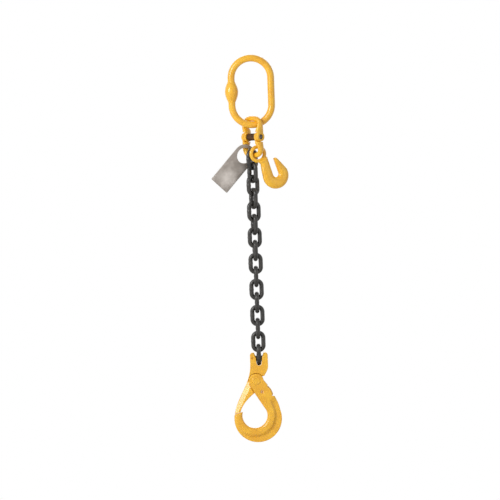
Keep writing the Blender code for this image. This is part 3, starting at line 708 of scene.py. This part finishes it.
def grab_shape(s, p):
    """Shortening hook: a round eye on the coupling, a shank, a chain slot and a point."""
    lean, across = math.radians(s.grab_lean), facing(s.grab_turn)
    plane = Plane(on_bow(s, p, s.grab_side, 2.1, 1.95), across * math.cos(lean) + UP * math.sin(lean),
                  UP * math.cos(lean) - across * math.sin(lean))
    slot = (s.chain_wire + s.grab_slot_play) / 2.0
    eye = (s.coupling_wire + s.grab_eye_play + s.grab_eye_wire) / 2.0
    side, point, round_by = s.grab_slot_side, s.grab_tip_radius, s.grab_bowl_radius
    floor = (side, slot - s.grab_slot_drop)
    bowl = beside(floor, -1.0, -2.25)
    tip = (side + slot + point, -19.8)
    flank = polar(bowl, round_by, 165.0)
    outline = arc(tip, point, 20.0, 180.0) + arc(floor, slot, 0.0, -180.0)
    outline += [(side - slot, -eye * 0.77), polar((0.0, 0.0), eye, -54.0), polar((0.0, 0.0), eye, -113.0)]
    shank = ((3.7, 22.0), (1.6, 14.0), (0.4, 6.0), (0.0, 0.0))
    outline += curve([beside(flank, *place) for place in shank], 12)
    outline += arc(bowl, round_by, 165.0, 372.0)[1:]
    outline += curve([polar(bowl, round_by, 372.0), beside(tip, 11.2, -15.5), beside(tip, 6.3, -3.5),
                      polar(tip, point, 20.0)], 16)[1:-1]
    shares = []
    for right, up in outline:
        at_point = min(0.92, 0.28 + 0.026 * (tip[1] - up))
        at_shank = 0.7 + 0.22 * ease(-1.0 - up / 20.0)
        shares.append(at_point if right > side else at_shank)
    layers = rounded_layers(s.grab_thickness / 2.0, edge=5.8, steps=8, wide=9.0)
    ring = circle(eye, 96)
    wire = s.grab_eye_wire / 2.0
    eye_ring = sweep(plane, ring, [(wire, wire)] * len(ring), 32, True)
    body = plate(plane, outline, layers, shares)
    return forge("grab_hook_forging", body, joined=[eye_ring], voxel=0.4, rounds=24)


def tag_plane(s, p):
    """Plane of the tag, centred on its hole, its up direction along its length."""
    lean, pitch = math.radians(s.tag_lean), math.radians(s.tag_pitch)
    across = facing(s.tag_turn)
    rise = UP * math.cos(pitch) + facing(s.tag_turn + 90.0) * math.sin(pitch)
    lowest = p.coupling - UP * (p.bow_top - 0.65)
    return Plane(lowest + p.coupling_right * s.tag_side - p.coupling_back * 7.1,
                 across * math.cos(lean) - rise * math.sin(lean),
                 across * math.sin(lean) + rise * math.cos(lean))


def tag_shape(s, p):
    """Bare sheet tag with a large hole in its round end and softly broken edges."""
    plane, corner = tag_plane(s, p), s.tag_corner
    half, low = s.tag_width / 2.0, corner - s.tag_reach
    outline = arc((0.0, 0.0), half, 0.0, 180.0)
    outline += arc((corner - half, low), corner, 180.0, 270.0)
    outline += arc((half - corner, low), corner, 270.0, 360.0)
    sheet = plate(plane, outline, rounded_layers(s.tag_thickness / 2.0, edge=0.35, steps=3))
    return forge("id_tag_sheet", sheet, cut=[rod(plane, s.tag_hole / 2.0, s.tag_thickness)])


def arm_tip(s, p):
    """Inner and outer corner of the gate arm's end, which stands just off the hook's tip."""
    inside = Vector(polar(p.bowl, s.bowl_radius, p.bowl_tip))
    end = Vector(polar(p.rim, s.rim_radius, p.rim_tip)) - inside
    lift = Vector((end.y, -end.x)).normalized() * 0.4
    return tuple(inside + end * 0.28 + lift), tuple(inside + end * 0.975 + lift)


def tongue_edge(s, p):
    """Round edge of the tongue from the arm to the neck, with the lock notch in it."""
    points = arc(p.pivot, s.tongue_radius, -100.0, -37.0)
    points += [polar(p.pivot, s.tongue_radius - s.notch_depth, turn) for turn in (-24.0, -6.0)]
    return points + arc(p.pivot, s.tongue_radius, 7.0, 45.0)


def clevis_shape(s, p):
    """Clevis, tongue and gate arm, forged in one piece."""
    half, rise, deep = s.clevis_width / 2.0, s.clevis_rise, s.clevis_depth / 2.0
    arm = s.arm_thickness / 2.0
    slot = s.chain_wire / 2.0 + s.weld_swell + s.weld_gap
    slot_low = slot - s.clevis_pin / 2.0 - 2.0 * s.seat_gap - s.chain_wire
    mouth = p.slot_half + s.clevis_flare
    tip_in, tip_out = arm_tip(s, p)
    root = polar(p.pivot, s.tongue_radius * 2.0, -100.0)
    heel = polar(p.pivot, 17.5, 29.0)
    foot = (half, -15.0)
    outline = curve([tip_in, beside(tip_in, 2.5, 13.0), beside(root, -11.0, -8.5), root])
    outline += tongue_edge(s, p)
    outline += curve([heel, beside(heel, 2.0, 4.5), beside(foot, -0.2, -8.0), foot], 16)
    outline += [(half, rise - 5.0), (half - 3.0, rise), (mouth, rise), (slot, 0.0)]
    outline += arc((0.0, slot_low), slot, 0.0, -180.0)
    outline += [(-slot, 0.0), (-mouth, rise), (3.0 - half, rise), (-half, rise - 5.0)]
    outline += curve([(-half, -10.05), beside(p.pivot, -10.0, -6.0),
                      (tip_out[0] + 7.0, p.pivot[1] - 24.0), tip_out])
    down = [(deep, p.pivot[1] + s.cheek_radius), (arm, p.pivot[1] - s.cheek_radius), (arm, p.rim[1])]
    side = list(reversed(down)) + arc((0.0, 0.0), deep, 0.0, 180.0) + [(-back, up) for back, up in down]
    side_prism = slab(p.cross, side, -2.0 * s.rim_radius, 2.0 * s.rim_radius)
    cuts = [rod(p.cross, s.clevis_pin / 2.0 + s.pin_play, s.clevis_width),
            rod(p.hook.moved(p.roll_pin), s.roll_pin / 2.0 + s.pin_play, s.clevis_depth),
            rod(p.hook.moved(p.pivot), s.rivet / 2.0 + s.pin_play, s.clevis_depth)]
    recess = arc(p.pivot, s.cheek_radius + s.pin_play / 2.0, 40.0, 215.0)
    recess += [beside(root, -0.3, -1.2), (root[0], p.bowl_top), (s.rim_radius, p.bowl_top),
               (s.rim_radius, heel[1]), heel]
    flare = [(-slot, -6.5), (slot, -6.5), (slot, 0.0), (mouth, rise), (mouth, 2.0 * rise),
             (-mouth, 2.0 * rise), (-mouth, rise), (-slot, 0.0)]
    for face in BOTH_FACES:
        cuts.append(slab(p.hook, recess, face * s.tongue_thickness / 2.0, face * s.clevis_depth))
        cuts.append(arm_slope(p, face, arm))
        cuts.append(plate(p.hook, flare, [(face * (deep + 0.5), -1.3), (face * (deep - 6.0), 0.0)]))
    body = slab(p.hook, outline, -s.clevis_depth, s.clevis_depth)
    return forge("clevis_forging", body, kept=[side_prism], cut=cuts, voxel=0.45, rounds=14)


def arm_slope(p, face, arm):
    """What is taken off one face of the gate arm, so that it falls away towards its outer edge."""
    start, end = Vector((-15.0, -50.0)), Vector((-42.0, -101.0))
    along = (end - start).normalized()
    out = Vector((along.y, -along.x))
    section = ((-3.0, arm + 1.2), (14.0, arm - 5.6), (14.0, arm * 3.0), (-3.0, arm * 3.0))
    return skin_rings([[p.hook.at(*(start + along * distance + out * side), face * back)
                        for side, back in section] for distance in (-4.0, 70.0)])


def hook_shape(s, p):
    """Bowl with a raised inner band, back limb and two cheeks round the tongue and the trigger."""
    rim_end = polar(p.rim, s.rim_radius, 380.0)
    cheek = polar(p.pivot, s.cheek_radius, 6.0)
    apex = polar(p.pivot, s.tongue_radius * 2.05, -98.3)
    throat = polar(p.bowl, s.bowl_radius, 22.0)
    outline = arc(p.rim, s.rim_radius, p.rim_tip, 380.0)
    outline += curve([rim_end, beside(rim_end, -2.0, 14.0), beside(p.trigger, 17.2, 6.5), cheek])[1:-1]
    outline += arc(p.pivot, s.cheek_radius, 6.0, 215.0)
    outline += curve([apex, tuple(Vector(apex).lerp(Vector(throat), 0.5)), throat], 12)
    outline += arc(p.bowl, s.bowl_radius, 22.0, p.bowl_tip - 360.0)[1:]
    deep = s.body_thickness / 2.0
    half = s.tongue_thickness / 2.0 + s.side_play
    far = s.rim_radius * 2.0
    tongue = arc(p.pivot, s.tongue_radius + s.swing_play, -97.0, -3.0)
    tongue += [polar(p.pivot, far, -3.0), (far, 0.0), (-far, 0.0), (-far, p.bowl_top),
               (p.pivot[0] - 5.0, p.bowl_top)]
    pocket = [beside(p.trigger, *place) for place in ((-6.0, 10.5), (-6.0, -3.5), (0.2, -7.0))]
    pocket += [(p.trigger[0] + 6.1, p.pocket_floor), (s.rim_radius, p.pocket_floor),
               (s.rim_radius, p.pivot[1]), polar(p.pivot, s.tongue_radius, -3.0)]
    thumb = [beside(p.trigger, *place) for place in ((9.8, 10.2), (15.2, 4.2), (18.6, -4.3), (17.6, -7.6),
                                                     (30.0, -7.6), (30.0, 10.2))]
    cuts = [slab(p.hook, tongue, -half, half), slab(p.hook, pocket, -half, half),
            rod(p.hook.moved(p.pivot), s.rivet / 2.0 + s.pin_play, s.body_thickness),
            rod(p.hook.moved(p.trigger), s.trigger_pin / 2.0 + s.pin_play, s.body_thickness),
            slab(p.hook, thumb, -s.body_thickness, s.body_thickness),
            rod(p.hook.moved(beside(p.trigger, 11.0, 10.6)), radius=1.2, half=s.body_thickness)]
    for face in BOTH_FACES:
        cuts.append(band_step(s, p, face))
        cuts.append(rod(p.hook.moved((*p.trigger, face * deep)), radius=2.9, half=1.3))
    shares = [1.0 - 0.85 * ease((up - p.bowl_top) / 25.0) for _, up in outline]
    body = plate(p.hook, outline, rounded_layers(deep, edge=6.0), shares)
    return forge("hook_forging", body, cut=cuts, voxel=0.55, rounds=14)


def band_step(s, p, face):
    """What is taken off one face of the outer band: a slope that fades out at both its ends."""
    deep, step = s.body_thickness / 2.0, s.rim_thickness / 2.0
    slope, far = 2.6, s.band_radius * 2.0
    rings = []
    for turn in range(-196, 47, 2):
        share = min(ease((46.0 - turn) / 20.0), ease((turn + 196.0) / 50.0))
        low, high = blend(deep, step, share), deep + 2.0
        section = ((s.band_radius + slope, low), (far, low), (far, high), (s.band_radius - slope, high))
        rings.append([p.hook.at(*polar(p.bowl, radius, turn), face * back) for radius, back in section])
    return skin_rings(rings)


def rivet_shape(s, p):
    """Pivot rivet with a dished head on each cheek."""
    face = s.body_thickness / 2.0 + s.seat_gap
    head = ((0.4, 0.9), (2.2, 1.05), (3.4, 0.6), (4.4, 0.6), (5.4, 1.15), (6.4, 1.1), (7.2, 0.6),
            (7.5, 0.0), (s.rivet / 2.0, 0.0))
    return turned(p.hook.moved(p.pivot), both_ends([(radius, -face - height) for radius, height in head]))


def trigger_shape(s, p):
    """Thumb lever whose nose stands in the tongue's lock notch."""
    nose, root = s.tongue_radius - s.nose_depth, s.tongue_radius + s.swing_play * 2.0
    outline = arc(p.trigger, 5.0, 150.0, 300.0)
    outline += [(p.trigger[0] + 9.2, p.heel), (p.trigger[0] + 18.7, p.heel)]
    for place in ((20.2, -4.0), (16.5, 5.0), (11.7, 10.5), (6.8, 11.5)):
        outline.append(beside(p.trigger, *place))
    outline += [polar(p.pivot, root + 3.2, -3.0), polar(p.pivot, root, -0.5), polar(p.pivot, nose, -9.6),
                polar(p.pivot, nose, -20.4), polar(p.pivot, root, -29.5)]
    half = s.trigger_thickness / 2.0
    hole = rod(p.hook.moved(p.trigger), s.trigger_pin / 2.0 + s.pin_play, s.trigger_thickness)
    return forge("trigger_lever", slab(p.hook, outline, -half, half), cut=[hole], voxel=0.3, rounds=8)


# Repeated wound pieces as node trees

def new_tree(name, numbers, vectors):
    """A geometry tree with named inputs, the function that adds its nodes, and its inputs' sockets."""
    tree = bpy.data.node_groups.new(name, "GeometryNodeTree")
    tree.interface.new_socket("Geometry", in_out="OUTPUT", socket_type="NodeSocketGeometry")
    for labels, kind in ((numbers, "NodeSocketFloat"), (vectors, "NodeSocketVector")):
        for label in labels:
            tree.interface.new_socket(label, in_out="INPUT", socket_type=kind)
    add = partial(node, tree)
    return tree, add, add("NodeGroupInput").outputs


def close_tree(add, geometry, material):
    """End a tree with smooth shading, real geometry and a material."""
    smooth = add("GeometryNodeSetShadeSmooth", {"Geometry": geometry})
    real = add("GeometryNodeRealizeInstances", {"Geometry": smooth})
    coloured = add("GeometryNodeSetMaterial", {"Geometry": real, "Material": material})
    add("NodeGroupOutput", {"Geometry": coloured})


def link_tree():
    """A welded link: an oval of round wire that swells at its weld, turned and put in place."""
    tree, add, given = new_tree("Welded_chain_link", (
        "Wire Radius", "Width", "Height", "Weld Reach", "Weld Growth"), ("Turn", "Centre"))
    bend = add("ShaderNodeMath", {0: given["Width"], 1: 2.0}, operation="DIVIDE")
    oval = add("GeometryNodeCurvePrimitiveQuadrilateral", {"Width": given["Width"],
                                                           "Height": given["Height"]})
    rounded = add("GeometryNodeFilletCurve", {"Curve": oval, "Radius": bend, "Count": 24,
                                              "Limit Radius": True}, mode="POLY")
    even = add("GeometryNodeResampleCurve", {"Curve": rounded, "Count": 120})
    spot = add("ShaderNodeSeparateXYZ", {0: add("GeometryNodeInputPosition")}).outputs
    away = add("ShaderNodeMath", {0: spot["Y"]}, operation="ABSOLUTE")
    near = add("ShaderNodeMapRange", {"Value": away, "From Min": given["Weld Reach"], "From Max": 0.0},
               interpolation_type="SMOOTHSTEP")
    left = add("ShaderNodeMath", {0: spot["X"], 1: 0.0}, operation="LESS_THAN")
    weld = add("ShaderNodeMath", {0: near, 1: left}, operation="MULTIPLY")
    scale = add("ShaderNodeMath", {0: weld, 1: given["Weld Growth"], 2: 1.0}, operation="MULTIPLY_ADD")
    section = add("GeometryNodeCurvePrimitiveCircle", {"Resolution": 28, "Radius": given["Wire Radius"]})
    tube = add("GeometryNodeCurveToMesh", {"Curve": even, "Profile Curve": section, "Scale": scale})
    turned_to = add("FunctionNodeEulerToRotation", {0: given["Turn"]})
    put = add("GeometryNodeTransform", {"Geometry": tube, "Translation": given["Centre"],
                                        "Rotation": turned_to})
    close_tree(add, put, chain_lacquer())
    return tree


def spring_tree():
    """A coil of round wire that stands on its foot."""
    tree, add, given = new_tree("Wound_trigger_spring", ("Coil Radius", "Wire Radius", "Turns", "Height"),
                                ("Foot",))
    coil = add("GeometryNodeCurveSpiral", {
        "Resolution": 32, "Rotations": given["Turns"], "Start Radius": given["Coil Radius"],
        "End Radius": given["Coil Radius"], "Height": given["Height"]})
    section = add("GeometryNodeCurvePrimitiveCircle", {"Resolution": 12, "Radius": given["Wire Radius"]})
    tube = add("GeometryNodeCurveToMesh", {"Curve": coil, "Profile Curve": section, "Fill Caps": True})
    put = add("GeometryNodeTransform", {"Geometry": tube, "Translation": given["Foot"]})
    close_tree(add, put, pin_steel())
    return tree


def grow(tree, name, values):
    """Run a tree with its inputs set by name and return one plain mesh object."""
    source = placed(name + "_source", bpy.data.meshes.new(name + "_source"))
    modifier = source.modifiers.new("tree", "NODES")
    modifier.node_group = tree
    for item in tree.interface.items_tree:
        if item.in_out == "INPUT":
            modifier[item.identifier] = values[item.name]
    return settle(source, name)


# Operators, one for each piece or group

class SLING_OT_master_link(bpy.types.Operator):
    """Build the master link"""

    bl_idname = "sling.master_link"
    bl_label = "Master link"

    def execute(self, context):
        piece = plain("master_link_forging", master_shape(*sling()))
        show(piece, "master_link", "master_link")
        return {"FINISHED"}


class SLING_OT_coupling(bpy.types.Operator):
    """Build the coupling's two halves, its load pin and its bush"""

    bl_idname = "sling.coupling"
    bl_label = "Coupling"

    def execute(self, context):
        s, p = sling()
        for side, turn in (("upper", 1.0), ("lower", -1.0)):
            half = coupling_half(s, p, "coupling_%s_forging" % side, turn)
            show(half, "coupling_" + side, "coupling_%s_half" % side)
        plane = Plane(p.coupling, p.coupling_back)
        reach = p.outer_ear + s.ear_thickness / 2.0 - s.coupling_setback
        pin = rod(plane, s.coupling_pin / 2.0, reach, edge=0.8)
        show_pin("coupling_pin_turned", pin, "coupling_upper", "coupling_load_pin", "bright_steel")
        bush = bush_shape(s, plane)
        show_pin("coupling_bush_turned", bush, "coupling_upper", "coupling_bush", "brown_steel")
        return {"FINISHED"}


class SLING_OT_chain(bpy.types.Operator):
    """Build the chain, one welded link on each body"""

    bl_idname = "sling.chain"
    bl_label = "Chain"

    def execute(self, context):
        s, p = sling()
        tree, radius = link_tree(), s.chain_wire / 2.0
        oval = {"Wire Radius": radius * MM, "Width": (2.0 * s.chain_wire + s.chain_play) * MM,
                "Height": (p.link_inside + s.chain_wire) * MM, "Weld Reach": s.weld_length * MM / 2.0,
                "Weld Growth": s.weld_swell / radius}
        for index in range(LINKS):
            name = "link_%02d" % (index + 1)
            centre = p.first_link - UP * (s.chain_pitch * index)
            turn = (math.radians(90.0), 0.0, math.radians(link_yaw(s, index)))
            link = grow(tree, name + "_welded", {**oval, "Turn": turn, "Centre": tuple(centre * MM)})
            show(link, name, "chain_" + name, "black_chain")
        return {"FINISHED"}


class SLING_OT_grab_hook(bpy.types.Operator):
    """Build the grab hook"""

    bl_idname = "sling.grab_hook"
    bl_label = "Grab hook"

    def execute(self, context):
        show(grab_shape(*sling()), "grab_hook", "grab_hook")
        return {"FINISHED"}


class SLING_OT_tag(bpy.types.Operator):
    """Build the bare identification tag"""

    bl_idname = "sling.tag"
    bl_label = "Tag"

    def execute(self, context):
        show(tag_shape(*sling()), "id_tag", "id_tag", "tag_sheet", CRISP)
        return {"FINISHED"}


class SLING_OT_clevis(bpy.types.Operator):
    """Build the hook's clevis body with its load pin and roll pin"""

    bl_idname = "sling.clevis"
    bl_label = "Clevis"

    def execute(self, context):
        s, p = sling()
        show(clevis_shape(s, p), "hook_upper", "clevis_body")
        pin = rod(p.cross, s.clevis_pin / 2.0, s.clevis_width / 2.0 - s.clevis_setback, edge=0.8)
        show_pin("clevis_pin_turned", pin, "hook_upper", "clevis_load_pin", "bright_steel")
        half = s.clevis_depth / 2.0 - s.clevis_setback
        roll = rod(p.hook.moved(p.roll_pin), s.roll_pin / 2.0, half, edge=0.4)
        show_pin("clevis_roll_pin_rolled", roll, "hook_upper", "clevis_roll_pin")
        return {"FINISHED"}


class SLING_OT_hook(bpy.types.Operator):
    """Build the hook body with its rivet, trigger pin and spring"""

    bl_idname = "sling.hook"
    bl_label = "Hook body"

    def execute(self, context):
        s, p = sling()
        show(hook_shape(s, p), "hook_bowl", "hook_body")
        rivet = plain("pivot_rivet_headed", rivet_shape(s, p))
        show(rivet, "hook_bowl", "pivot_rivet", sharp=50.0)
        half = s.body_thickness / 2.0 - s.trigger_setback
        pin = rod(p.hook.moved(p.trigger), s.trigger_pin / 2.0, half, edge=0.4)
        show_pin("trigger_pin_turned", pin, "hook_bowl", "trigger_pin")
        wire, radius = 0.8, 2.1
        foot = p.hook.at(p.trigger[0] + 12.2, p.pocket_floor + s.seat_gap + wire / 2.0)
        height = p.heel - p.pocket_floor - 2.0 * s.seat_gap - wire
        spring = grow(spring_tree(), "trigger_spring_wound", {
            "Coil Radius": radius * MM, "Wire Radius": wire * MM / 2.0, "Turns": 5.0,
            "Height": height * MM, "Foot": tuple(foot * MM)})
        show(spring, "hook_bowl", "trigger_spring", "bright_steel")
        return {"FINISHED"}


class SLING_OT_trigger(bpy.types.Operator):
    """Build the trigger lever"""

    bl_idname = "sling.trigger"
    bl_label = "Trigger"

    def execute(self, context):
        show(trigger_shape(*sling()), "trigger", "trigger")
        return {"FINISHED"}


class SLING_OT_stage(bpy.types.Operator):
    """Build the floor, the lights, the white world and the camera"""

    bl_idname = "sling.stage"
    bl_label = "Stage"

    def execute(self, context):
        scene = context.scene
        scene.view_settings.view_transform = "Standard"
        reach, low = 4000.0, CAD_BOX[0][2] / MM - 30.0
        sheet = bmesh.new()
        sheet.faces.new([sheet.verts.new((side * reach, back * reach, low))
                         for side, back in ((-1, -1), (1, -1), (1, 1), (-1, 1))])
        floor = plain("studio_floor", sheet)
        floor.data.materials.append(floor_paint(low))
        self.add_lights()
        self.add_world(scene)
        self.add_camera(scene)
        return {"FINISHED"}

    def add_lights(self):
        """Large soft boxes in metres and watts: a key from the upper left front and fills round it."""
        aim = UP * -0.36
        for name, place, size, power in (("key_softbox", (-1.35, -1.5, 0.5), 1.0, 29.0),
                                         ("low_left_fill", (-1.6, -1.3, -1.0), 0.9, 14.0),
                                         ("right_fill", (1.8, -1.4, 0.2), 1.4, 3.0),
                                         ("back_fill", (0.2, 2.0, 0.9), 1.6, 14.0)):
            data = bpy.data.lights.new(name, "AREA")
            data.energy = power
            data.size = size
            lamp = placed(name, data)
            lamp.location = place
            lamp.rotation_mode = "QUATERNION"
            lamp.rotation_quaternion = (aim - Vector(place)).to_track_quat("-Z", "Y")

    def add_world(self, scene):
        """White to the eye and in reflections, and a softer white as light."""
        world = bpy.data.worlds.new("White_studio")
        world.use_nodes = True
        scene.world = world
        tree = world.node_tree
        level = node(tree, "ShaderNodeMapRange", {"Value": seen_directly(tree), "To Min": 0.46})
        feed(tree, tree.nodes["Background"], {"Color": (1.0, 1.0, 1.0, 1.0), "Strength": level})

    def add_camera(self, scene):
        """A level view along +Y, rolled by the sling's lean in the photograph."""
        lean = math.radians(1.96)
        data = bpy.data.cameras.new("photo_view")
        data.type = "ORTHO"
        data.ortho_scale = 0.9225
        scene.camera = placed("photo_view", data)
        scene.camera.location = (-0.0124, -3.0, -0.3474)
        scene.camera.rotation_euler = (math.radians(90.0), lean, 0.0)


class SLING_PT_sidebar(bpy.types.Panel):
    """Buttons for the pieces, and their sizes and colours"""

    bl_label = "Chain sling"
    bl_idname = "SLING_PT_sidebar"
    bl_space_type = "VIEW_3D"
    bl_region_type = "UI"
    bl_category = "Sling"

    def draw(self, context):
        column = self.layout.column(align=True)
        for step in STEPS:
            column.operator("sling." + step)
        for group, kind in (("sling_sizes", SlingSizes), ("sling_colours", SlingColours)):
            column = self.layout.column(align=True)
            for key in kind.__annotations__:
                column.prop(getattr(context.scene, group), key)


CLASSES = (SlingSizes, SlingColours, SLING_OT_master_link, SLING_OT_coupling, SLING_OT_chain,
           SLING_OT_grab_hook, SLING_OT_tag, SLING_OT_clevis, SLING_OT_hook, SLING_OT_trigger,
           SLING_OT_stage, SLING_PT_sidebar)


def register():
    for kind in CLASSES:
        bpy.utils.register_class(kind)
    bpy.types.Scene.sling_sizes = bpy.props.PointerProperty(type=SlingSizes)
    bpy.types.Scene.sling_colours = bpy.props.PointerProperty(type=SlingColours)


def unregister():
    del bpy.types.Scene.sling_colours
    del bpy.types.Scene.sling_sizes
    for kind in reversed(CLASSES):
        bpy.utils.unregister_class(kind)


def main():
    """Build every piece and the stage."""
    register()
    for step in STEPS:
        if getattr(bpy.ops.sling, step)() != {"FINISHED"}:
            raise RuntimeError("the step " + step + " did not finish")


if __name__ == "__main__":
    main()
